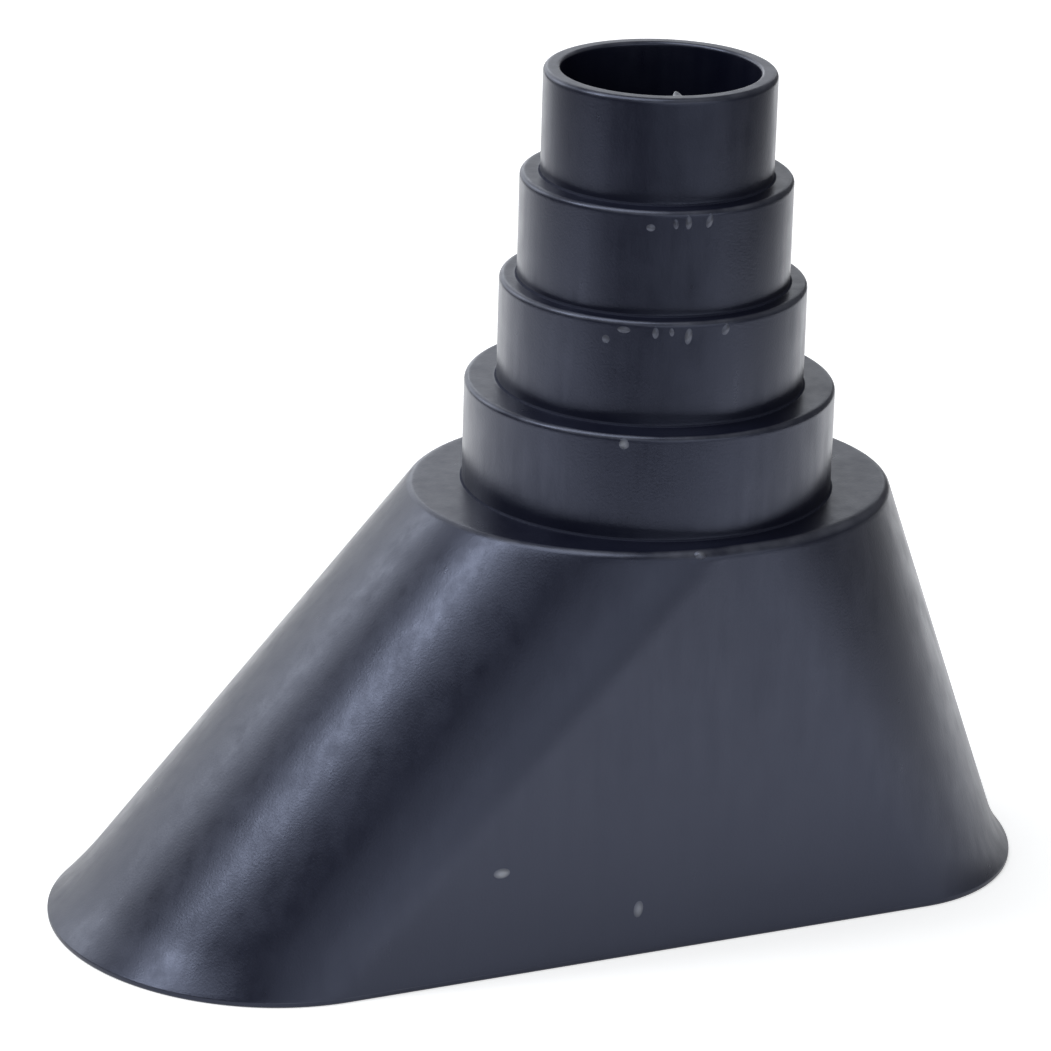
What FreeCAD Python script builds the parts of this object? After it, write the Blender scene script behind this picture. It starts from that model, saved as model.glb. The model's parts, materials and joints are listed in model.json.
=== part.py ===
import FreeCAD, Part
import os
from math import hypot, pi, sin, tan
from FreeCAD import Vector

# Rubber collar that seals a roof mast: a stepped neck on a hollow, skewed skirt, moulded as one piece.
# Frame: +Z up along the mast, X along the long slope, base rim on z = 0, base outline centred on x = 0.
# All sizes are in millimetres.

# Main sizes: the length of the foot with its lip, where the neck stands on it, and the shoulder.
base_length = 182.8
neck_offset = 19.7
shoulder_height = 73.2

# Neck: four sleeves, each made for one mast tube. The user cuts off the sleeves that are too narrow.
top_bore_diameter = 35.2
second_bore_growth = 7.2
third_bore_growth = 6.2
bottom_bore_growth = 11.4
sleeve_height = 19.0
sleeve_wall = 3.0
ledge_thickness = 3.0
sleeve_edge_radius = 0.9
sleeve_foot_radius = 0.4
rim_inner_radius = 0.6
bore_corner_radius = 0.8

# Shoulder: the flat oval ledge round the bottom sleeve.
shoulder_thickness = 3.0
shoulder_ledge_sides = 5.2
shoulder_ledge_left = 10.2
shoulder_ledge_right = 11.4
shoulder_straight = 4.0
shoulder_edge_radius = 1.8

# Skirt: it runs out far on the left, less on the right and hardly at the sides.
side_slope_run = 2.1
base_left_reach = 36.7
base_right_reach = 31.0
skirt_wall = 3.0
skirt_inner_radius = 1.5

# Lip: the foot of the skirt turns out a little, most at the steep end, and ends in a short upright edge.
lip_turn_out_left = 0.2
lip_turn_out_right = 1.4
lip_turn_out_sides = 0.3
lip_turn_height = 4.5
lip_edge_height = 1.0
lip_edge_radius = 0.5

# How far a cutting shape runs past the face that it opens.
cut_overrun = 1.0

# Sizes that follow from the ones above.
bore_radii = [top_bore_diameter / 2]
for growth in (second_bore_growth, third_bore_growth, bottom_bore_growth):
    bore_radii.append(bore_radii[-1] + growth / 2)
sleeve_radii = [radius + sleeve_wall for radius in bore_radii]
sleeve_count = len(sleeve_radii)
ledge_heights = [shoulder_height + sleeve_height * (sleeve_count - i) for i in range(sleeve_count)]
neck_top = ledge_heights[0]

shoulder_half_width = sleeve_radii[-1] + shoulder_ledge_sides
shoulder_left_tip = sleeve_radii[-1] + shoulder_ledge_left
shoulder_right_tip = sleeve_radii[-1] + shoulder_ledge_right
base_left_tip = base_length / 2 + neck_offset - lip_turn_out_left
base_right_tip = base_length / 2 - neck_offset - lip_turn_out_right
left_slope_run = base_left_tip - shoulder_left_tip
right_slope_run = base_right_tip - shoulder_right_tip


class Oval:
    """Two half ellipses joined by straight sides: its half width, end centres and end reaches."""

    def __init__(self, half_width, left_centre, right_centre, left_reach, right_reach):
        self.values = [half_width, left_centre, right_centre, left_reach, right_reach]

    def towards(self, other, share):
        """The oval a share of the way to another one."""
        return Oval(*[a + (b - a) * share for a, b in zip(self.values, other.values)])

    def grown(self, sides, left, right):
        """The oval with its sides and its two ends moved out."""
        half_width, left_centre, right_centre, left_reach, right_reach = self.values
        return Oval(half_width + sides, left_centre, right_centre, left_reach + left, right_reach + right)

    def wire(self, height):
        half_width, left_centre, right_centre, left_reach, right_reach = self.values
        front = Part.makeLine(
            Vector(left_centre, -half_width, height),
            Vector(right_centre, -half_width, height),
        )
        back = Part.makeLine(
            Vector(right_centre, half_width, height),
            Vector(left_centre, half_width, height),
        )
        left_end = half_ellipse(left_centre, height, half_width, left_reach, -1)
        right_end = half_ellipse(right_centre, height, half_width, right_reach, 1)
        return Part.Wire([left_end, front, right_end, back])


def half_ellipse(centre_x, height, half_width, reach, side):
    """End of an oval, on its left (side -1) or right (side 1), run anticlockwise."""
    centre = Vector(centre_x, 0, height)
    start = Vector(centre_x, -side * half_width, height)
    tip = Vector(centre_x + side * reach, 0, height)
    finish = Vector(centre_x, side * half_width, height)
    if half_width > reach:
        curve = Part.ArcOfEllipse(Part.Ellipse(start, tip, centre), 0, pi)
    else:
        curve = Part.ArcOfEllipse(Part.Ellipse(tip, finish, centre), -pi / 2, pi / 2)
    return curve.toShape()


def rounded_outline(corners):
    """Closed outline in the XZ plane from (radius, height, corner rounding) points."""
    count = len(corners)
    points = [Vector(r, 0, z) for r, z, rounding in corners]
    starts, ends, arcs = [], [], []
    for i in range(count):
        before = (points[i - 1] - points[i]).normalize()
        after = (points[(i + 1) % count] - points[i]).normalize()
        rounding = corners[i][2]
        if rounding == 0:
            starts.append(points[i])
            ends.append(points[i])
            arcs.append(None)
            continue
        half_angle = before.getAngle(after) / 2
        setback = rounding / tan(half_angle)
        first = points[i] + before * setback
        last = points[i] + after * setback
        to_centre = (before + after).normalize()
        middle = points[i] + to_centre * (rounding / sin(half_angle) - rounding)
        starts.append(first)
        ends.append(last)
        arcs.append(Part.Arc(first, middle, last).toShape())
    edges = []
    for i in range(count):
        if arcs[i]:
            edges.append(arcs[i])
        edges.append(Part.makeLine(ends[i], starts[(i + 1) % count]))
    return Part.Wire(edges)


def turned(corners):
    """Solid of revolution about the mast axis."""
    face = Part.Face(rounded_outline(corners))
    solid = face.revolve(Vector(0, 0, 0), Vector(0, 0, 1), 360)
    return solid.translated(Vector(neck_offset, 0, 0))


def slant(run):
    """How much wider than its thickness a leaning wall is, cut level."""
    return hypot(run, shoulder_height) / shoulder_height


# Outlines of the skirt: its sharp shoulder edge and its foot without the lip.
shoulder_middle = neck_offset + (shoulder_right_tip - shoulder_left_tip) / 2
shoulder_reach = (shoulder_left_tip + shoulder_right_tip - shoulder_straight) / 2
shoulder_oval = Oval(
    shoulder_half_width,
    shoulder_middle - shoulder_straight / 2,
    shoulder_middle + shoulder_straight / 2,
    shoulder_reach,
    shoulder_reach,
)
base_oval = Oval(
    shoulder_half_width + side_slope_run,
    neck_offset - base_left_tip + base_left_reach,
    neck_offset + base_right_tip - base_right_reach,
    base_left_reach,
    base_right_reach,
)
lip_oval = base_oval.grown(lip_turn_out_sides, lip_turn_out_left, lip_turn_out_right)
wall_sides = skirt_wall * slant(side_slope_run)
wall_left = skirt_wall * slant(left_slope_run)
wall_right = skirt_wall * slant(right_slope_run)


def outside(height):
    """Outline of the skirt's outer wall at a height, without the lip."""
    return shoulder_oval.towards(base_oval, 1 - height / shoulder_height)


def inside(height):
    """Outline of the skirt's hollow at a height."""
    return outside(height).grown(-wall_sides, -wall_left, -wall_right)


def edges_at(shape, height):
    """Edges that lie wholly in one level plane."""
    level = []
    for edge in shape.Edges:
        box = edge.BoundBox
        if abs(box.ZMin - height) < 1e-4 and abs(box.ZMax - height) < 1e-4:
            level.append(edge)
    return level


# Skirt with its rounded shoulder edge and its lip.
lip_height = lip_edge_height + lip_turn_height
skirt = Part.makeLoft(
    [
        lip_oval.wire(0),
        lip_oval.wire(lip_edge_height),
        outside(lip_height).wire(lip_height),
        shoulder_oval.wire(shoulder_height),
    ],
    True,
    True,
)
skirt = skirt.makeFillet(shoulder_edge_radius, edges_at(skirt, shoulder_height))
skirt = skirt.makeFillet(lip_edge_radius, edges_at(skirt, 0))

# Neck, from the rim down to inside the shoulder, with its sleeves' rounded edges and feet.
corners = [(0, neck_top, 0), (sleeve_radii[0], neck_top, sleeve_edge_radius)]
for i in range(1, sleeve_count):
    corners.append((sleeve_radii[i - 1], ledge_heights[i], sleeve_foot_radius))
    corners.append((sleeve_radii[i], ledge_heights[i], sleeve_edge_radius))
corners.append((sleeve_radii[-1], shoulder_height - shoulder_thickness, 0))
corners.append((0, shoulder_height - shoulder_thickness, 0))
neck = turned(corners)

body = skirt.fuse(neck)
foot_edges = []
for edge in edges_at(body, shoulder_height):
    if abs(edge.Length - 2 * pi * sleeve_radii[-1]) < 1e-3:
        foot_edges.append(edge)
body = body.makeFillet(sleeve_foot_radius, foot_edges)

# Stepped bore, a hole in each sleeve that ends under the ledge above.
bore_start = neck_top + cut_overrun
corners = [(0, bore_start, 0), (bore_radii[0], bore_start, 0)]
for i in range(1, sleeve_count):
    under = ledge_heights[i] - ledge_thickness
    corners.append((bore_radii[i - 1], under, 0))
    corners.append((bore_radii[i], under, bore_corner_radius))
bore_end = shoulder_height - shoulder_thickness - cut_overrun
corners.append((bore_radii[-1], bore_end, 0))
corners.append((0, bore_end, 0))
bore = turned(corners)

# Hollow of the skirt, open underneath.
hollow_top = shoulder_height - shoulder_thickness
hollow_start = -cut_overrun
hollow = Part.makeLoft(
    [inside(hollow_start).wire(hollow_start), inside(hollow_top).wire(hollow_top)],
    True,
    True,
)
hollow = hollow.makeFillet(skirt_inner_radius, edges_at(hollow, hollow_top))

collar = body.cut(hollow.fuse(bore))
rim_edges = []
for edge in edges_at(collar, neck_top):
    if abs(edge.Length - 2 * pi * bore_radii[0]) < 1e-3:
        rim_edges.append(edge)
collar = collar.makeFillet(rim_inner_radius, rim_edges)

solid = collar.Solids[0]
os.makedirs("parts", exist_ok=True)
solid.exportStep("parts/mast_collar.step")
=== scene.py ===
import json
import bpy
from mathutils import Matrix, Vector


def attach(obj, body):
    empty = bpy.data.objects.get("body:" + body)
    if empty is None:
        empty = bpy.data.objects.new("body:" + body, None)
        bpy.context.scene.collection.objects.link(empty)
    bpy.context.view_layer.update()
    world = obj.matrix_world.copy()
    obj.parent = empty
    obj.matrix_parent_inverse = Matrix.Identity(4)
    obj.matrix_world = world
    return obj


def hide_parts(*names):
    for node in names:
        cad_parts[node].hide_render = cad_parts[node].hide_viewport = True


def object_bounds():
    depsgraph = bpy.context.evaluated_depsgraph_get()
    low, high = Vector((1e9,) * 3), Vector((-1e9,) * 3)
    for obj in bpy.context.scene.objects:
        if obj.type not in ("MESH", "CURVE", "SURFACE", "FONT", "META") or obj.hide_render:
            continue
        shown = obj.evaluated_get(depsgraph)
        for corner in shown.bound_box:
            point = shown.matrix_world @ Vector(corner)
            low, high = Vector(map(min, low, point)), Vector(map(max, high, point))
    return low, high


bl_info = {
    "name": "Mast Rubber Collar",
    "version": (1, 0, 0),
    "blender": (4, 5, 0),
    "location": "View3D > Sidebar > Collar",
    "description": "Builds a moulded rubber mast collar on its packed frame, with a plain studio stage",
    "category": "Add Mesh",
}

from math import pi, radians

import bpy
import numpy as np
from bpy.props import FloatProperty, FloatVectorProperty, PointerProperty
from mathutils import Euler, Vector

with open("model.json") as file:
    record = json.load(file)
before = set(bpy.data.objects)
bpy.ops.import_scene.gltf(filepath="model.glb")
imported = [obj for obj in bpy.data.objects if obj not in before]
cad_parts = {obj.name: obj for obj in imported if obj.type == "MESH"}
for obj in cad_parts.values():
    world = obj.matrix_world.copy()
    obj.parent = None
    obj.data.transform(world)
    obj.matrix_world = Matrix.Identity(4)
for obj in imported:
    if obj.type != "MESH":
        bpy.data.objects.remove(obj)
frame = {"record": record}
cad_box = [list(corner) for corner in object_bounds()]

# What the frame gives: where the neck stands, its bores, and the names of its body and node.
MM = 0.001
MOUNTS = {mount["name"]: mount for mount in frame["record"]["mounts"]}
SLEEVES = [MOUNTS[place + "_sleeve_bore"] for place in ("top", "second", "third", "bottom")]
NECK_OFFSET = SLEEVES[0]["pos_m"][0]
BORE_RADII = [sleeve["dims"]["r_mm"] * MM for sleeve in SLEEVES]
BODY = "root"
NODE = "mast_collar"


# Sizes, finish and stage that a user may change.


def length(name, description, default):
    """Property for a size in metres."""
    return FloatProperty(name=name, description=description, default=default, unit="LENGTH", precision=4)


def colour(name, description, default):
    """Property for a linear colour."""
    return FloatVectorProperty(
        name=name,
        description=description,
        default=default,
        subtype="COLOR",
        size=3,
        min=0.0,
        max=1.0,
    )


def share(name, description, default):
    """Property for a number from nought to one."""
    return FloatProperty(
        name=name,
        description=description,
        default=default,
        subtype="FACTOR",
        min=0.0,
        max=1.0,
        precision=3,
    )


class CollarSizes(bpy.types.PropertyGroup):
    """Sizes of the moulded collar."""

    bore_radii: FloatVectorProperty(
        name="Bore radii",
        description="Bores of the sleeves, from the top one down",
        default=BORE_RADII,
        size=len(BORE_RADII),
        unit="LENGTH",
        precision=4,
    )
    neck_offset: length("Neck offset", "How far the neck stands right of the base's middle", NECK_OFFSET)
    sleeve_height: length("Sleeve height", "Height of each sleeve of the neck", 0.019)
    sleeve_wall: length("Sleeve wall", "Thickness of a sleeve's wall", 0.003)
    ledge_thickness: length("Ledge thickness", "Thickness of the ledge between two sleeves", 0.003)
    sleeve_edge: length("Sleeve edge", "Rounding of a sleeve's upper edge", 0.0009)
    sleeve_foot: length("Sleeve foot", "Rounding where a sleeve stands on its ledge", 0.0004)
    rim_inner: length("Rim inner edge", "Rounding of the rim's inner edge", 0.0006)
    bore_corner: length("Bore corner", "Rounding at the top of a bore", 0.0008)
    shoulder_height: length("Shoulder height", "Height of the oval shoulder above the base", 0.0732)
    shoulder_thickness: length("Shoulder thickness", "Thickness of the shoulder's plate", 0.003)
    ledge_sides: length("Shoulder sides", "Width of the shoulder in front of the bottom sleeve", 0.0052)
    ledge_left: length("Shoulder left", "Width of the shoulder on the long slope's side", 0.0102)
    ledge_right: length("Shoulder right", "Width of the shoulder on the steep side", 0.0114)
    shoulder_straight: length("Shoulder straight", "Straight stretch of the shoulder's long sides", 0.004)
    shoulder_edge: length("Shoulder edge", "Rounding of the shoulder's edge", 0.0018)
    base_length: length("Base length", "Length of the foot with its lip", 0.1828)
    side_slope: length("Side slope", "How far the skirt's sides run out", 0.0021)
    base_left_reach: length("Left end reach", "How far the left end of the foot bows out", 0.0367)
    base_right_reach: length("Right end reach", "How far the right end of the foot bows out", 0.031)
    skirt_wall: length("Skirt wall", "Thickness of the skirt's wall", 0.003)
    skirt_inner: length("Skirt inner corner", "Rounding under the shoulder", 0.0015)
    lip_out_left: length("Lip on the left", "How far the lip turns out at the long slope", 0.0002)
    lip_out_right: length("Lip on the right", "How far the lip turns out at the steep end", 0.0014)
    lip_out_sides: length("Lip at the sides", "How far the lip turns out at the sides", 0.0003)
    lip_turn: length("Lip turn", "Height over which the lip turns out", 0.0045)
    lip_edge: length("Lip edge", "Height of the lip's upright edge", 0.001)
    lip_rounding: length("Lip rounding", "Rounding of the lip's lower edge", 0.0005)
    moulding_wave: length("Moulding wave", "How far the soft walls stray from their true line", 0.00003)


class RubberFinish(bpy.types.PropertyGroup):
    """Finish of the black rubber."""

    dark: colour("Rubber", "Colour of the plain rubber", (0.0036, 0.0042, 0.0125))
    bloom: colour("Bloom", "Colour where the rubber has bloomed", (0.0066, 0.0076, 0.0180))
    # Edges and the rim's top are painted in this lighter colour, partly as real rubbing and partly as a
    # painted highlight.
    rubbed_and_highlit: colour("Rubbed edges", "Colour of edges that handling has rubbed", (0.075, 0.078, 0.096))
    # Colour towards which the crowns of the marks are painted paler.
    pale_crown: colour("Scuffed marks", "Colour of marks with the black scuffed off", (0.33, 0.34, 0.37))
    roughness: share("Roughness", "Roughness of the satin skin", 0.33)
    mirror: share("Mirror", "How strongly the rubber mirrors its surroundings", 0.76)
    mirror_tint: colour("Mirror tint", "Tint of what the rubber mirrors", (0.68, 0.745, 1.0))
    grain: share("Grain", "Depth of the fine moulded grain", 0.10)


class StageSetup(bpy.types.PropertyGroup):
    """Floor, lights and camera."""

    floor: colour("Floor", "Colour of the white sheet that the collar stands on", (0.82, 0.82, 0.82))
    floor_front: length("Floor front", "How far in front of the collar the sheet ends", 0.226)
    floor_left: length("Floor left", "How far the sheet runs to the left", 0.40)
    floor_right: length("Floor right", "How far the sheet runs to the right", 0.37)
    floor_back: length("Floor back", "How far the sheet runs behind the collar", 1.2)
    floor_glow: share("Floor glow", "How much the sheet glows where the rubber mirrors it", 1.0)
    foot_shade: share("Foot shade", "How much of that glow is left close to the foot", 0.35)
    shade_reach: length("Shade reach", "How far from the foot that shade reaches", 0.10)
    floor_lift: share("Floor lift", "How much the sheet is lifted towards white in the picture", 0.6)
    room: share("Room light", "Light from all round", 0.15)
    light_distance: length("Light distance", "How far the softboxes stand from the collar", 1.3)
    light_height: length("Light aim", "Height on the collar that the softboxes face", 0.07)
    light_tint: colour("Light tint", "Colour of the softboxes", (0.94, 0.97, 1.0))
    camera_place: FloatVectorProperty(
        name="Camera place",
        description="Where the camera stands",
        default=(-0.43445, -0.89093, 0.41950),
        size=3,
        subtype="TRANSLATION",
        precision=4,
    )
    camera_turn: FloatVectorProperty(
        name="Camera turn",
        description="How the camera is turned",
        default=(1.22875, -0.02779, -0.44023),
        size=3,
        subtype="EULER",
        precision=4,
    )
    camera_lens: FloatProperty(
        name="Camera lens",
        description="Focal length on a 36 mm sensor",
        default=202.54,
        unit="CAMERA",
    )


# Outlines and rings of the collar. A ring is one closed line of points, and all rings have as many.

# How many steps go round each end, along each side and over a rounding.
END_STEPS = 92
SIDE_STEPS = 34
ARC_STEPS = 6

# How far rings stand apart on the neck, on the skirt and in its hollow, and how far the first one stands
# from a rounding, which is at most a share of the run.
NECK_GAP = 0.0045
SKIRT_GAP = 0.0028
HOLLOW_GAP = 0.009
CLOSE_GAP = 0.00035
CLOSE_SHARE = 0.25

# Where rings stand on the short runs, as shares of each run.
LIP_SHARES = np.linspace(0.1, 0.95, 8)
SHOULDER_SHARES = (0.12, 0.4, 0.7, 0.9)
CEILING_SHARES = (0.25, 0.7, 0.976)
UNDERSIDE_SHARES = (0.15, 0.5, 0.85)

# The rounding of the edges inside, and how far the neck's profile runs out over the hollow's ceiling.
SHARP_EDGE = 0.00025
CEILING_RUN = 0.001

# Over how many times its own turn the lip blends into the slope, and how round its upper edge is
# beside its lower one.
LIP_BLEND = 1.6
LIP_TOP_SHARE = 0.6

# How far from the bottom sleeve the shoulder's rings end, in roundings of that sleeve's foot.
NECK_START = 1.05

# How rubbed and highlit (1) or how sheltered (-1) edges and corners are. The flat top of the rim is
# painted lighter all over.
# The lighter colour of rubbed edges and of the rim's top is partly wear and partly a painted highlight.
RUBBED_AND_HIGHLIT = 1.0
SHELTERED = -1.0
LIP_FOOT_WEAR_AND_HIGHLIGHT = 0.5
LIP_TOP_WEAR_AND_HIGHLIGHT = 0.6
BORE_EDGE_WEAR_AND_HIGHLIGHT = 0.5
RIM_WEAR_AND_HIGHLIGHT = 0.8
RIM_TOLERANCE = 0.000001

# Slow waves in the soft walls, along X and across it: share of the whole, turn with the level place and
# with the height in radians a metre, and start.
WAVES_ALONG = ((0.6, 71, 43, 0.7), (0.4, -57, 119, 2.1))
WAVES_ACROSS = ((0.6, 63, 51, 1.9), (0.4, 88, 134, 0.3))

# Below this height the walls don't stray, and over this run above it the waves grow to their full size.
CALM_HEIGHT = 0.006
CALM_RUN = 0.03


def unit(vectors):
    """Vectors brought to a length of one."""
    return vectors / np.linalg.norm(vectors, axis=1)[:, None]


def at_height(flat, height):
    """Flat points lifted to a height. Directions stay level at a height of 0."""
    return np.column_stack([flat, np.full(len(flat), height)])


def oval_outline(oval):
    """Points and outward directions round an oval of two half ellipses and two straight sides."""
    half_width, left_centre, right_centre, left_reach, right_reach = oval
    turn = np.linspace(0, pi, END_STEPS, endpoint=False)
    run = np.linspace(0, 1, SIDE_STEPS, endpoint=False)
    span = right_centre - left_centre
    ones = np.ones(SIDE_STEPS)
    points, directions = [], []
    for centre, reach, start, side_x, side in (
        (left_centre, left_reach, pi / 2, left_centre + span * run, -1),
        (right_centre, right_reach, -pi / 2, right_centre - span * run, 1),
    ):
        angle = turn + start
        points.append(np.column_stack([centre + reach * np.cos(angle), half_width * np.sin(angle)]))
        directions.append(np.column_stack([np.cos(angle) / reach, np.sin(angle) / half_width]))
        points.append(np.column_stack([side_x, side * half_width * ones]))
        directions.append(np.column_stack([0 * ones, side * ones]))
    return np.concatenate(points), unit(np.concatenate(directions))


def oval_ring(oval, height):
    """Ring of an oval at a height."""
    return at_height(oval_outline(oval)[0], height)


def slope_edge(oval, height, lower_ring):
    """Ring of a slope's upper edge, its outward directions, and those straight down the slope."""
    points, way = oval_outline(oval)
    ring = at_height(points, height)
    along = at_height(np.column_stack([-way[:, 1], way[:, 0]]), 0)
    down = unit(lower_ring - ring)
    down = unit(down - along * (down * along).sum(axis=1)[:, None])
    return ring, at_height(way, 0), down


def run_shares(span, gap):
    """Shares of a straight run at which rings stand, close to both of its ends and even between them."""
    close = min(CLOSE_GAP, CLOSE_SHARE * span)
    count = max(int(round(span / gap)), 1)
    return np.linspace(close, span - close, count + 1) / span


def rounded_edge(corner, wall_way, face_way, radius):
    """Rings round the edge between a wall and a face, from the wall to the face."""
    cosine = np.clip((wall_way * face_way).sum(axis=1), -1, 1)
    half = np.arccos(cosine) / 2
    setback = (radius / np.tan(half))[:, None]
    middle = unit(wall_way + face_way)
    centre = corner + middle * (radius / np.sin(half))[:, None]
    first = (corner + wall_way * setback - centre) / radius
    last = (corner + face_way * setback - centre) / radius
    sweep = np.arccos(np.clip((first * last).sum(axis=1), -1, 1))[:, None]
    rings = []
    for step in range(ARC_STEPS + 1):
        part = step / ARC_STEPS
        spoke = (np.sin((1 - part) * sweep) * first + np.sin(part * sweep) * last) / np.sin(sweep)
        rings.append(centre + spoke * radius)
    return rings


def arc_rub_and_highlight(arc, wear):
    """Rings or points of a rounding with their wear and highlight value, which is strongest in its middle.
    """
    return [(ring, wear * np.sin(pi * step / ARC_STEPS)) for step, ring in enumerate(arc)]


def between(first, last, shares):
    """Plain rings at shares of the way from one ring to another."""
    return [(first + (last - first) * part, 0.0) for part in shares]


def rounded_profile(corners):
    """Radius, height and wear-and-highlight value along a profile of (radius, height, rounding,
    wear-and-highlight) corners.
    """
    points = [np.array(corner[:2]) for corner in corners]
    path = []
    last_end = points[0]
    for i in range(1, len(corners)):
        rounding, wear = corners[i][2:]
        arc = [points[i]]
        if rounding:
            before = unit((points[i - 1] - points[i])[None])
            after = unit((points[i + 1] - points[i])[None])
            arc = [spot[0] for spot in rounded_edge(points[i][None], before, after, rounding)]
        span = np.linalg.norm(arc[0] - last_end)
        path.extend(between(last_end, arc[0], run_shares(span, NECK_GAP)))
        if rounding:
            path.extend(arc_rub_and_highlight(arc, wear))
        last_end = arc[-1]
    return [(*spot, wear) for spot, wear in path]


class CollarForm:
    """Ovals, radii and heights of the collar, from its sizes. Those of the neck run from the rim down."""

    def __init__(self, sizes):
        self.sizes = sizes
        self.axis = np.array([sizes.neck_offset, 0])
        self.bores = np.array(sizes.bore_radii)
        self.sleeves = self.bores + sizes.sleeve_wall
        self.count = len(self.bores)
        self.shoulder = sizes.shoulder_height
        self.ceiling = self.shoulder - sizes.shoulder_thickness
        sleeves_below = range(self.count, -1, -1)
        self.ledges = [self.shoulder + sizes.sleeve_height * below for below in sleeves_below]
        self.neck_start = self.sleeves[-1] + NECK_START * sizes.sleeve_foot
        self.lip_head = sizes.lip_edge + LIP_BLEND * sizes.lip_turn
        self.half_width = self.sleeves[-1] + sizes.ledge_sides

        left_tip = self.sleeves[-1] + sizes.ledge_left
        right_tip = self.sleeves[-1] + sizes.ledge_right
        middle = sizes.neck_offset + (right_tip - left_tip) / 2
        reach = (left_tip + right_tip - sizes.shoulder_straight) / 2
        half_straight = sizes.shoulder_straight / 2
        base_left = -sizes.base_length / 2 + sizes.lip_out_left
        base_right = sizes.base_length / 2 - sizes.lip_out_right
        self.top_oval = np.array([
            self.half_width,
            middle - half_straight,
            middle + half_straight,
            reach,
            reach,
        ])
        self.foot_oval = np.array([
            self.half_width + sizes.side_slope,
            base_left + sizes.base_left_reach,
            base_right - sizes.base_right_reach,
            sizes.base_left_reach,
            sizes.base_right_reach,
        ])
        lip_growth = np.array([sizes.lip_out_sides, 0, 0, sizes.lip_out_left, sizes.lip_out_right])
        self.lip_oval = self.foot_oval + lip_growth
        self.spokes = unit(oval_outline(self.top_oval)[0] - self.axis)

        # A leaning wall, cut level, is wider than its thickness.
        left_run = sizes.neck_offset - base_left - left_tip
        right_run = base_right - sizes.neck_offset - right_tip
        runs = (sizes.side_slope, left_run, right_run)
        sides, left, right = [np.hypot(run, self.shoulder) / self.shoulder for run in runs]
        self.wall = np.array([sides, 0, 0, left, right]) * sizes.skirt_wall

    def outer_oval(self, height):
        """Oval of the skirt's outer wall at a height, without the lip."""
        return self.top_oval + (self.foot_oval - self.top_oval) * (1 - height / self.shoulder)

    def inner_oval(self, height):
        """Oval of the skirt's hollow at a height."""
        return self.outer_oval(height) - self.wall

    def neck_ring(self, radius, height):
        """Round ring about the neck's axis."""
        return at_height(self.axis + self.spokes * radius, height)


def lip_rings(form):
    """Lip: its rounded lower edge, its upright edge and its turn into the slope."""
    sizes = form.sizes
    points, way = oval_outline(form.lip_oval)
    outward = at_height(way, 0)
    upright = np.zeros_like(outward)
    upright[:, 2] = 1
    lip_top = at_height(points, sizes.lip_edge)
    lip_rest = form.lip_oval - form.outer_oval(sizes.lip_edge)

    def turn_ring(share_up):
        """Ring at a share of the way up the lip's turn."""
        height = sizes.lip_edge + (form.lip_head - sizes.lip_edge) * share_up
        return oval_ring(form.outer_oval(height) + lip_rest * (1 - share_up) ** 2, height)

    turn_way = unit(turn_ring(LIP_SHARES[0]) - lip_top)
    foot_arc = rounded_edge(at_height(points, 0), -outward, upright, sizes.lip_rounding)
    top_arc = rounded_edge(lip_top, -upright, turn_way, LIP_TOP_SHARE * sizes.lip_rounding)
    turn = [(turn_ring(share_up), 0.0) for share_up in LIP_SHARES]
    return arc_rub_and_highlight(foot_arc, LIP_FOOT_WEAR_AND_HIGHLIGHT) + arc_rub_and_highlight(top_arc, LIP_TOP_WEAR_AND_HIGHLIGHT) + turn


def wall_rings(oval_at, first, last, gap):
    """Plain rings of a leaning wall, whose oval at a height is given, from one height to another."""
    heights = [first + (last - first) * part for part in run_shares(abs(last - first), gap)]
    return [(oval_ring(oval_at(height), height), 0.0) for height in heights]


def skirt_rings(form):
    """Outer wall of the skirt, up over its rounded shoulder edge."""
    foot = oval_ring(form.outer_oval(0), 0)
    ring, outward, down = slope_edge(form.top_oval, form.shoulder, foot)
    arc = rounded_edge(ring, down, -outward, form.sizes.shoulder_edge)
    wall = wall_rings(form.outer_oval, form.lip_head, arc[0][:, 2].min(), SKIRT_GAP)
    return wall + arc_rub_and_highlight(arc, RUBBED_AND_HIGHLIT)


def neck_rings(form):
    """Neck, up over its sleeves and rim and down through its bores."""
    sizes = form.sizes
    corners = [(form.neck_start, form.shoulder, 0, 0)]
    for i in reversed(range(form.count)):
        corners.append((form.sleeves[i], form.ledges[i + 1], sizes.sleeve_foot, SHELTERED))
        corners.append((form.sleeves[i], form.ledges[i], sizes.sleeve_edge, RUBBED_AND_HIGHLIT))
    corners.append((form.bores[0], form.ledges[0], sizes.rim_inner, RUBBED_AND_HIGHLIT))
    for i in range(1, form.count):
        under = form.ledges[i] - sizes.ledge_thickness
        corners.append((form.bores[i - 1], under, SHARP_EDGE, BORE_EDGE_WEAR_AND_HIGHLIGHT))
        corners.append((form.bores[i], under, sizes.bore_corner, SHELTERED))
    corners.append((form.bores[-1], form.ceiling, SHARP_EDGE, BORE_EDGE_WEAR_AND_HIGHLIGHT))
    corners.append((form.bores[-1] + CEILING_RUN, form.ceiling, 0, 0))
    rings = []
    for radius, height, wear in rounded_profile(corners):
        # The rim's flat top is painted lighter all over, partly as wear and partly as a painted highlight.
        on_rim = height > form.ledges[0] - RIM_TOLERANCE
        rings.append((form.neck_ring(radius, height), max(wear, RIM_WEAR_AND_HIGHLIGHT) if on_rim else wear))
    return rings


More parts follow.
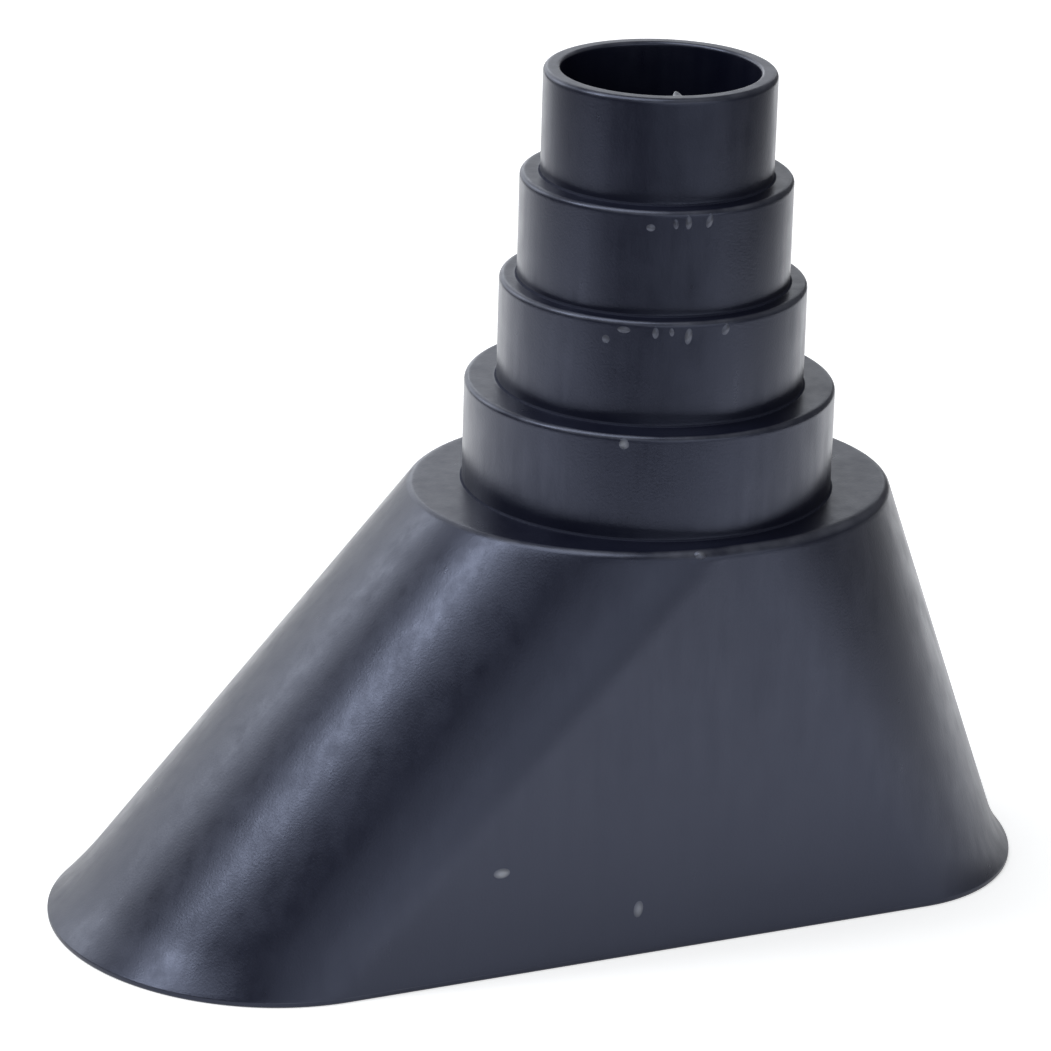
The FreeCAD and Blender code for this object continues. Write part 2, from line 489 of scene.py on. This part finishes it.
def hollow_rings(form, start):
    """Ceiling of the hollow from the ring that ends the neck, its corner, and the skirt's inner wall."""
    foot = oval_ring(form.inner_oval(0), 0)
    ring, outward, down = slope_edge(form.inner_oval(form.ceiling), form.ceiling, foot)
    arc = rounded_edge(ring, -outward, down, form.sizes.skirt_inner)
    wall = wall_rings(form.inner_oval, arc[-1][:, 2].min(), SHARP_EDGE, HOLLOW_GAP)
    return between(start, arc[0], CEILING_SHARES) + arc_rub_and_highlight(arc, SHELTERED) + wall


def collar_rings(form):
    """All rings of the collar with their wear and highlight values: out over the skirt, up the neck and
    back down inside.
    """
    rings = lip_rings(form) + skirt_rings(form)
    neck_foot = form.neck_ring(form.neck_start, form.shoulder)
    rings += between(rings[-1][0], neck_foot, SHOULDER_SHARES)
    rings += neck_rings(form)
    rings += hollow_rings(form, rings[-1][0])
    rings += between(oval_ring(form.inner_oval(0), 0), rings[0][0], UNDERSIDE_SHARES)
    return rings


def stray(points, amount):
    """Points of the soft walls, moved sideways by slow waves that die out towards the foot."""
    x, y, z = points.T
    rise = np.clip((z - CALM_HEIGHT) / CALM_RUN, 0, 1)
    grip = rise * rise * (3 - 2 * rise) * amount
    moved = points.copy()
    for axis, level, waves in ((0, y, WAVES_ALONG), (1, x, WAVES_ACROSS)):
        for part, level_wave, height_wave, start in waves:
            moved[:, axis] += grip * part * np.sin(level_wave * level + height_wave * z + start)
    return moved


def ring_faces(ring_count, around):
    """Quads of a skin that closes on itself both ways."""
    faces = []
    for ring in range(ring_count):
        here = ring * around
        there = (ring + 1) % ring_count * around
        for k in range(around):
            after = (k + 1) % around
            faces.append((here + k, here + after, there + after, there + k))
    return faces


def mesh_piece(name, points, faces, wear, material):
    """Smooth mesh object with its wear and painted-highlight values kept as an attribute for the material.
    """
    mesh = bpy.data.meshes.new(name)
    mesh.from_pydata(points.tolist(), [], faces)
    if mesh.validate():
        raise RuntimeError(name + " has faulty faces")
    attribute = mesh.attributes.new("wear", "FLOAT", "POINT")
    attribute.data.foreach_set("value", np.asarray(wear, dtype=np.float32))
    mesh.shade_smooth()
    mesh.materials.append(material)
    piece = bpy.data.objects.new(name, mesh)
    bpy.context.scene.collection.objects.link(piece)
    return piece


# Small marks that the mould leaves: pips, short strokes and a tag of flash on the rim.
# Their sizes are in millimetres and their angles in degrees.

# On the sleeves: the sleeve, counted from 0 at the top, the turn round the neck, the drop below the
# sleeve's edge, half width, half height, lean, rise, and how much paler its crown is painted.
SLEEVE_MARKS = (
    (1, -118.7, 2.9, 1.00, 0.80, 0, 0.20, 0.15),
    (1, -108.5, 2.2, 0.60, 1.20, 8, 0.16, 0.07),
    (1, -103.2, 2.0, 0.70, 1.45, 0, 0.22, 0.16),
    (1, -94.2, 1.9, 0.75, 1.50, -16, 0.22, 0.15),
    (2, -133.6, 3.6, 0.90, 0.95, 0, 0.16, 0.06),
    (2, -127.0, 1.6, 1.45, 0.75, 0, 0.20, 0.09),
    (2, -115.4, 1.9, 0.70, 1.25, 0, 0.20, 0.12),
    (2, -109.5, 1.7, 0.55, 1.00, 6, 0.14, 0.06),
    (2, -103.3, 2.5, 0.80, 1.75, -6, 0.28, 0.28),
    (2, -88.9, 1.8, 0.90, 1.30, -24, 0.20, 0.10),
    (3, -124.0, 1.5, 1.05, 1.05, 0, 0.36, 0.52),
)
# On the front of the skirt: place along it and height, then half width, half height, lean, rise and
# how much paler the crown is painted.
SKIRT_MARKS = (
    (-25.7, 19.4, 1.85, 1.10, 0, 0.40, 1.00),
    (0.9, 8.6, 1.10, 1.85, -8, 0.36, 0.55),
)
# On the shoulder's edge and inside the rim: turn, half width, half height, how far it faces up, rise
# and how much paler the crown is painted.
SHOULDER_MARK = (-102.2, 1.10, 0.75, 45, 0.28, 0.22)
RIM_TAG = (-106.8, 1.30, 0.40, 10, 2.60, 0.0)

# How finely a mark is divided. Then, in metres, how deep it is rooted, how far its foot is sunk, and the
# gap from the tag to the top of the rim.
MARK_RINGS = 7
MARK_SPOKES = 18
MARK_DEPTH = 0.0004
MARK_SINK = 0.00003
RIM_GAP = 0.0001

# Directions along the front of the skirt and straight up.
ALONG = np.array([1.0, 0, 0])
UP = np.array([0, 0, 1.0])


def bell(half_width, half_height, lean, rise):
    """Side step, up step and height over the surface of a small bell-shaped bump, in metres."""
    rows = [(0.0, 0.0, rise * MM)]
    turn = np.linspace(0, 2 * pi, MARK_SPOKES, endpoint=False)
    tilt = radians(lean)
    for ring in range(1, MARK_RINGS + 1):
        out = ring / MARK_RINGS
        height = rise * MM * (1 - out * out) ** 2 - MARK_SINK
        for angle in turn:
            side = out * half_width * MM * np.cos(angle)
            up = out * half_height * MM * np.sin(angle)
            leant_side = side * np.cos(tilt) - up * np.sin(tilt)
            leant_up = side * np.sin(tilt) + up * np.cos(tilt)
            rows.append((leant_side, leant_up, height))
    rim = rows[-MARK_SPOKES:]
    rows.extend((side, up, -MARK_DEPTH) for side, up, height in rim)
    rows.append((0.0, 0.0, -MARK_DEPTH))
    return np.array(rows)


def bell_crown():
    """How far up a bump each of its points lies, from nought at its foot to one."""
    return np.clip(bell(1, 1, 0, 1)[:, 2] / MM, 0, 1)


def bell_faces(start):
    """Faces of one bump whose points start at an index."""
    faces = []
    last = start + 1 + (MARK_RINGS + 1) * MARK_SPOKES
    foot = last - MARK_SPOKES
    for k in range(MARK_SPOKES):
        after = (k + 1) % MARK_SPOKES
        faces.append((start, start + 1 + k, start + 1 + after))
        for ring in range(MARK_RINGS):
            here = start + 1 + ring * MARK_SPOKES
            there = here + MARK_SPOKES
            faces.append((here + k, there + k, there + after, here + after))
        faces.append((foot + after, foot + k, last))
    return faces


def polar(angle):
    """Outward and sideways directions at a turn round the neck."""
    turn = radians(angle)
    return np.array([np.cos(turn), np.sin(turn), 0]), np.array([-np.sin(turn), np.cos(turn), 0])


def on_sleeve(rows, axis, radius, angle, height):
    """Bump wrapped round a sleeve."""
    turn = radians(angle) + rows[:, 0] / radius
    reach = radius + rows[:, 2]
    return np.column_stack([axis + reach * np.cos(turn), reach * np.sin(turn), height + rows[:, 1]])


def on_plane(rows, centre, side, up):
    """Bump laid on a flat spot with these side and up directions."""
    outward = np.cross(side, up)
    return centre + rows[:, :1] * side + rows[:, 1:2] * up + rows[:, 2:] * outward


def tilted_up(facing, angle):
    """Up direction on a spot that is turned from this facing towards the sky."""
    return UP * np.cos(radians(angle)) - facing * np.sin(radians(angle))


def sleeve_marks(form):
    """Pips and strokes round the sleeves, each with how much paler its crown is painted."""
    marks = []
    for sleeve, angle, drop, half_width, half_height, lean, rise, crown_paling in SLEEVE_MARKS:
        bump = bell(half_width, half_height, lean, rise)
        height = form.ledges[sleeve] - drop * MM
        marks.append((on_sleeve(bump, form.axis[0], form.sleeves[sleeve], angle, height), crown_paling))
    return marks


def skirt_marks(form):
    """Pips on the front of the skirt, each with how much paler its crown is painted."""
    up_wall = unit(np.array([[0, form.sizes.side_slope, form.shoulder]]))[0]
    marks = []
    for along, height, half_width, half_height, lean, rise, crown_paling in SKIRT_MARKS:
        front = form.outer_oval(height * MM)[0]
        centre = np.array([along * MM, -front, height * MM])
        bump = bell(half_width, half_height, lean, rise)
        marks.append((on_plane(bump, centre, ALONG, up_wall), crown_paling))
    return marks


def shoulder_mark(form):
    """Pip on the shoulder's rounded edge, with how much paler its crown is painted."""
    angle, half_width, half_height, facing_up, rise, crown_paling = SHOULDER_MARK
    outward, side = polar(angle)
    front = form.half_width - form.sizes.shoulder_edge * (1 - np.cos(radians(facing_up)))
    height = form.shoulder - form.sizes.shoulder_edge * (1 - np.sin(radians(facing_up)))
    centre = np.array([form.axis[0] + front * outward[0] / abs(outward[1]), -front, height])
    bump = bell(half_width, half_height, 0, rise)
    return on_plane(bump, centre, side, tilted_up(outward, facing_up)), crown_paling


def rim_tag(form):
    """Tag of flash that leans into the bore just under the rim's top, with how much paler its crown is
    painted.
    """
    angle, half_width, half_height, facing_up, rise, crown_paling = RIM_TAG
    outward, side = polar(angle)
    height = form.ledges[0] - half_height * MM - RIM_GAP
    centre = np.array([form.axis[0], 0, height]) + outward * form.bores[0]
    bump = bell(half_width, half_height, 0, rise)
    return on_plane(bump, centre, -side, tilted_up(-outward, facing_up)), crown_paling


# Materials. Colours and numbers that are the same all over stand on the shader's own sockets.

RUBBER = "moulded_black_rubber"

# Noise in the rubber: scale, detail and roughness. The streaks are drawn out up the walls, and the grain
# has a depth in metres.
CLOUD = (38, 4, 0.6)
BLOTCH = (160, 3, 0.55)
STREAK = (420, 3, 0.6)
GRAIN = (2300, 2, 0.5)
STREAK_STRETCH = (1, 1, 0.12)
GRAIN_DEPTH = 0.0002

# How much of the blotches goes into the bloom.
BLOTCH_IN_BLOOM = 0.35

# How noise and wear are spread: from low and high, to low and high.
BLOOM_SPREAD = (0.55, 0.95, 0, 1)
RUBBED_AND_HIGHLIT_SPREAD = (0.2, 1.0, 0, 1)
PATCHY_SPREAD = (0.35, 0.7, 0.25, 1)
CROWN_PALING_SPREAD = (1.0, 1.8, 0, 1)
BLOTCH_ROUGHNESS = (0.3, 0.7, -0.03, 0.03)
STREAK_ROUGHNESS = (0.3, 0.7, -0.04, 0.04)
SHELTER_ROUGHNESS = (-0.8, 0, 0.6, 0)

# The white sheet is nearly dull.
SHEET_ROUGHNESS = 0.9
SHEET_MIRROR = 0.1
WHITE = (1, 1, 1, 1)

# Sockets of the Mix node when it mixes colours.
MIX_FIRST = 6
MIX_SECOND = 7
MIX_RESULT = 2


class Shading:
    """Nodes of a material or a world, with short ways to add those that are used here."""

    def __init__(self, owner):
        owner.use_nodes = True
        self.nodes = owner.node_tree.nodes
        self.links = owner.node_tree.links

    def feed(self, socket, value):
        """Link a node's result to a socket, or set the socket to a number or a colour."""
        if isinstance(value, bpy.types.NodeSocket):
            self.links.new(value, socket)
        elif isinstance(value, (int, float)):
            socket.default_value = value
        else:
            socket.default_value = (*value, 1)

    def maths(self, operation, *values):
        """Result of a Math node on numbers or other results."""
        node = self.nodes.new("ShaderNodeMath")
        node.operation = operation
        for socket, value in zip(node.inputs, values):
            self.feed(socket, value)
        return node.outputs["Value"]

    def spread(self, value, from_low, from_high, to_low, to_high):
        """A result brought from one range to another and held within it."""
        node = self.nodes.new("ShaderNodeMapRange")
        names = ("Value", "From Min", "From Max", "To Min", "To Max")
        for name, number in zip(names, (value, from_low, from_high, to_low, to_high)):
            self.feed(node.inputs[name], number)
        return node.outputs["Result"]

    def noise(self, place, scale, detail, roughness):
        """Noise at a place on the piece."""
        node = self.nodes.new("ShaderNodeTexNoise")
        names = ("Vector", "Scale", "Detail", "Roughness")
        for name, value in zip(names, (place, scale, detail, roughness)):
            self.feed(node.inputs[name], value)
        return node.outputs["Fac"]

    def mixed(self, amount, first, second):
        """Two colours mixed by an amount."""
        node = self.nodes.new("ShaderNodeMix")
        node.data_type = "RGBA"
        self.feed(node.inputs["Factor"], amount)
        self.feed(node.inputs[MIX_FIRST], first)
        self.feed(node.inputs[MIX_SECOND], second)
        return node.outputs[MIX_RESULT]


def rubber_material(finish):
    """Black rubber with bloom, edges painted lighter as part wear and part highlight, a fine grain and an
    uneven satin gloss.
    """
    material = bpy.data.materials.get(RUBBER)
    if material:
        return material
    material = bpy.data.materials.new(RUBBER)
    shading = Shading(material)
    nodes = shading.nodes
    shader = nodes["Principled BSDF"]
    attribute = nodes.new("ShaderNodeAttribute")
    attribute.attribute_name = "wear"
    worn_and_highlit = attribute.outputs["Fac"]
    place = nodes.new("ShaderNodeTexCoord").outputs["Object"]
    drawn_out = nodes.new("ShaderNodeMapping")
    drawn_out.inputs["Scale"].default_value = STREAK_STRETCH
    shading.feed(drawn_out.inputs["Vector"], place)
    cloud = shading.noise(place, *CLOUD)
    blotch = shading.noise(place, *BLOTCH)
    streak = shading.noise(drawn_out.outputs["Vector"], *STREAK)
    grain = shading.noise(place, *GRAIN)

    clouded = shading.maths("ADD", cloud, shading.maths("MULTIPLY", blotch, BLOTCH_IN_BLOOM))
    skin = shading.mixed(shading.spread(clouded, *BLOOM_SPREAD), finish.dark, finish.bloom)
    # Edges and the rim's top are painted lighter here, partly as rubbing and partly as a painted
    # highlight; blotches make it patchy.
    rubbed_and_highlit = shading.spread(worn_and_highlit, *RUBBED_AND_HIGHLIT_SPREAD)
    patchy = shading.maths("MULTIPLY", rubbed_and_highlit, shading.spread(blotch, *PATCHY_SPREAD))
    edged = shading.mixed(patchy, skin, finish.rubbed_and_highlit)
    # The marks are painted paler towards their crowns.
    marked = shading.mixed(shading.spread(worn_and_highlit, *CROWN_PALING_SPREAD), edged, finish.pale_crown)
    shading.feed(shader.inputs["Base Color"], marked)

    shader.inputs["Specular Tint"].default_value = (*finish.mirror_tint, 1)
    shader.inputs["Specular IOR Level"].default_value = finish.mirror
    roughness = finish.roughness
    for source, numbers in (
        (blotch, BLOTCH_ROUGHNESS),
        (streak, STREAK_ROUGHNESS),
        (worn_and_highlit, SHELTER_ROUGHNESS),
    ):
        roughness = shading.maths("ADD", roughness, shading.spread(source, *numbers))
    shading.feed(shader.inputs["Roughness"], roughness)

    fine = nodes.new("ShaderNodeBump")
    fine.inputs["Strength"].default_value = finish.grain
    fine.inputs["Distance"].default_value = GRAIN_DEPTH
    shading.feed(fine.inputs["Height"], grain)
    shading.feed(shader.inputs["Normal"], fine.outputs["Normal"])
    return material


def sheet_glow(shading, setup):
    """Glow of the sheet, which fades towards the long foot of the collar."""
    half_width = cad_box[1][1]
    half_middle = cad_box[1][0] - half_width
    place = shading.nodes.new("ShaderNodeSeparateXYZ")
    shading.feed(place.inputs["Vector"], shading.nodes.new("ShaderNodeNewGeometry").outputs["Position"])
    past_middle = shading.maths("SUBTRACT", shading.maths("ABSOLUTE", place.outputs["X"]), half_middle)
    along = shading.maths("MAXIMUM", past_middle, 0)
    squares = [shading.maths("MULTIPLY", step, step) for step in (along, place.outputs["Y"])]
    distance = shading.maths("SQRT", shading.maths("ADD", *squares))
    far = half_width + setup.shade_reach
    near_glow = setup.floor_glow * setup.foot_shade
    return shading.spread(distance, half_width, far, near_glow, setup.floor_glow)


def sheet_material(setup):
    """White sheet that keeps the collar's shadow and reads as white in the picture and in the rubber."""
    material = bpy.data.materials.new("white_sheet")
    shading = Shading(material)
    shader = shading.nodes["Principled BSDF"]
    shader.inputs["Base Color"].default_value = (*setup.floor, 1)
    shader.inputs["Roughness"].default_value = SHEET_ROUGHNESS
    shader.inputs["Specular IOR Level"].default_value = SHEET_MIRROR
    shader.inputs["Emission Color"].default_value = WHITE
    rays = shading.nodes.new("ShaderNodeLightPath").outputs
    seen = shading.maths("MULTIPLY", rays["Is Camera Ray"], setup.floor_lift)
    glow = shading.maths("MULTIPLY_ADD", rays["Is Glossy Ray"], sheet_glow(shading, setup), seen)
    shading.feed(shader.inputs["Emission Strength"], glow)
    return material


# Stage.

# Softboxes: turn round the collar and height over the floor in degrees, width and height in metres, and
# brightness.
SOFTBOXES = {
    "overhead": (180, 70, 0.95, 0.95, 2.9),
    "left": (165, 43, 0.32, 0.32, 10.5),
    "back_left": (119, 25, 0.34, 0.34, 2.8),
    "back": (100, 20, 1.50, 0.95, 1.25),
    "back_right": (60, 15, 0.75, 0.55, 0.9),
    "front_low": (-86, 5, 1.60, 0.55, 1.08),
    "front_high": (-102, 26, 1.40, 0.42, 0.80),
}

# The camera's sensor in millimetres, and how far it sees in metres.
SENSOR_WIDTH = 36
SIGHT_END = 50


def white_room(setup):
    """World that is white in the picture and dim elsewhere, so that the softboxes shape the rubber."""
    world = bpy.data.worlds.new("white_room")
    shading = Shading(world)
    background = shading.nodes["Background"]
    background.inputs["Color"].default_value = WHITE
    seen = shading.nodes.new("ShaderNodeLightPath").outputs["Is Camera Ray"]
    shading.feed(background.inputs["Strength"], shading.maths("MAXIMUM", seen, setup.room))
    return world


def white_sheet(setup):
    """Floor of the stage, a sheet laid square to the camera."""
    left, right = -setup.floor_left, setup.floor_right
    front, back = -setup.floor_front, setup.floor_back
    corners = [(left, front, 0), (right, front, 0), (right, back, 0), (left, back, 0)]
    mesh = bpy.data.meshes.new("floor")
    mesh.from_pydata(corners, [], [(0, 1, 2, 3)])
    mesh.materials.append(sheet_material(setup))
    floor = bpy.data.objects.new("floor", mesh)
    floor.rotation_euler.z = setup.camera_turn[2]
    return floor


def softbox(name, numbers, setup):
    """Soft area light that faces the collar."""
    turn, height, wide, tall, brightness = numbers
    light = bpy.data.lights.new(name, "AREA")
    light.shape = "RECTANGLE"
    light.size = wide
    light.size_y = tall
    light.color = setup.light_tint
    # A softbox that looks this bright gives off power in step with its area.
    light.energy = brightness * pi * wide * tall
    lamp = bpy.data.objects.new(name, light)
    outward = Vector((1, 0, 0))
    outward.rotate(Euler((0, -radians(height), radians(turn))))
    lamp.location = Vector((0, 0, setup.light_height)) + outward * setup.light_distance
    lamp.rotation_euler = outward.to_track_quat("Z", "Y").to_euler()
    lamp.visible_camera = False
    return lamp


def photo_camera(setup):
    """Camera at the photograph's viewing angle."""
    camera = bpy.data.objects.new("camera", bpy.data.cameras.new("camera"))
    camera.data.sensor_width = SENSOR_WIDTH
    camera.data.lens = setup.camera_lens
    camera.data.clip_end = SIGHT_END
    camera.location = setup.camera_place
    camera.rotation_euler = setup.camera_turn
    return camera


class COLLAR_OT_moulded_body(bpy.types.Operator):
    """Build the collar's one moulded body: lip, skirt, shoulder, stepped neck, bores and hollow"""

    bl_idname = "collar.moulded_body"
    bl_label = "Moulded body"

    def execute(self, context):
        sizes = context.scene.collar_sizes
        rings = collar_rings(CollarForm(sizes))
        around = len(rings[0][0])
        points = stray(np.concatenate([ring for ring, wear in rings]), sizes.moulding_wave)
        wear = np.repeat([wear for ring, wear in rings], around)
        faces = ring_faces(len(rings), around)
        material = rubber_material(context.scene.collar_finish)
        piece = mesh_piece("collar_body", points, faces, wear, material)
        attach(piece, BODY)
        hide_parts(NODE)
        return {"FINISHED"}


class COLLAR_OT_moulding_marks(bpy.types.Operator):
    """Build the small marks that the mould leaves on sleeves, shoulder, skirt and rim"""

    bl_idname = "collar.moulding_marks"
    bl_label = "Moulding marks"

    def execute(self, context):
        sizes = context.scene.collar_sizes
        form = CollarForm(sizes)
        marks = sleeve_marks(form) + skirt_marks(form) + [shoulder_mark(form), rim_tag(form)]
        points = stray(np.concatenate([bump for bump, crown_paling in marks]), sizes.moulding_wave)
        crown = bell_crown()
        # Each mark takes the lighter edge colour, partly wear and partly painted highlight, and is painted
        # paler towards its crown.
        wear = np.concatenate([RUBBED_AND_HIGHLIT + crown * crown_paling for bump, crown_paling in marks])
        faces = []
        for number in range(len(marks)):
            faces.extend(bell_faces(number * len(crown)))
        material = rubber_material(context.scene.collar_finish)
        piece = mesh_piece("moulding_marks", points, faces, wear, material)
        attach(piece, BODY)
        return {"FINISHED"}


class COLLAR_OT_stage(bpy.types.Operator):
    """Set up the pale floor, the soft lights and the camera"""

    bl_idname = "collar.stage"
    bl_label = "Stage"

    def execute(self, context):
        scene = context.scene
        setup = scene.collar_stage
        scene.view_settings.view_transform = "Standard"
        scene.world = white_room(setup)
        floor = white_sheet(setup)
        scene.collection.objects.link(floor)
        for name, numbers in SOFTBOXES.items():
            scene.collection.objects.link(softbox(name, numbers, setup))
        camera = photo_camera(setup)
        scene.collection.objects.link(camera)
        scene.camera = camera
        return {"FINISHED"}


class COLLAR_PT_panel(bpy.types.Panel):
    """Sizes, finish and stage of the collar"""

    bl_label = "Mast collar"
    bl_space_type = "VIEW_3D"
    bl_region_type = "UI"
    bl_category = "Collar"

    def draw(self, context):
        layout = self.layout
        for group in (context.scene.collar_sizes, context.scene.collar_finish, context.scene.collar_stage):
            box = layout.box()
            for name in group.__annotations__:
                box.prop(group, name)
        for operator in (COLLAR_OT_moulded_body, COLLAR_OT_moulding_marks, COLLAR_OT_stage):
            layout.operator(operator.bl_idname)


CLASSES = (
    CollarSizes,
    RubberFinish,
    StageSetup,
    COLLAR_OT_moulded_body,
    COLLAR_OT_moulding_marks,
    COLLAR_OT_stage,
    COLLAR_PT_panel,
)


def register():
    """Register the classes and give the scene their settings."""
    for item in CLASSES:
        bpy.utils.register_class(item)
    bpy.types.Scene.collar_sizes = PointerProperty(type=CollarSizes)
    bpy.types.Scene.collar_finish = PointerProperty(type=RubberFinish)
    bpy.types.Scene.collar_stage = PointerProperty(type=StageSetup)


def unregister():
    """Take the settings off the scene and unregister the classes."""
    del bpy.types.Scene.collar_stage
    del bpy.types.Scene.collar_finish
    del bpy.types.Scene.collar_sizes
    for item in reversed(CLASSES):
        bpy.utils.unregister_class(item)


def main():
    """Build the collar and its stage."""
    register()
    bpy.ops.collar.moulded_body()
    bpy.ops.collar.moulding_marks()
    bpy.ops.collar.stage()


if __name__ == "__main__":
    main()
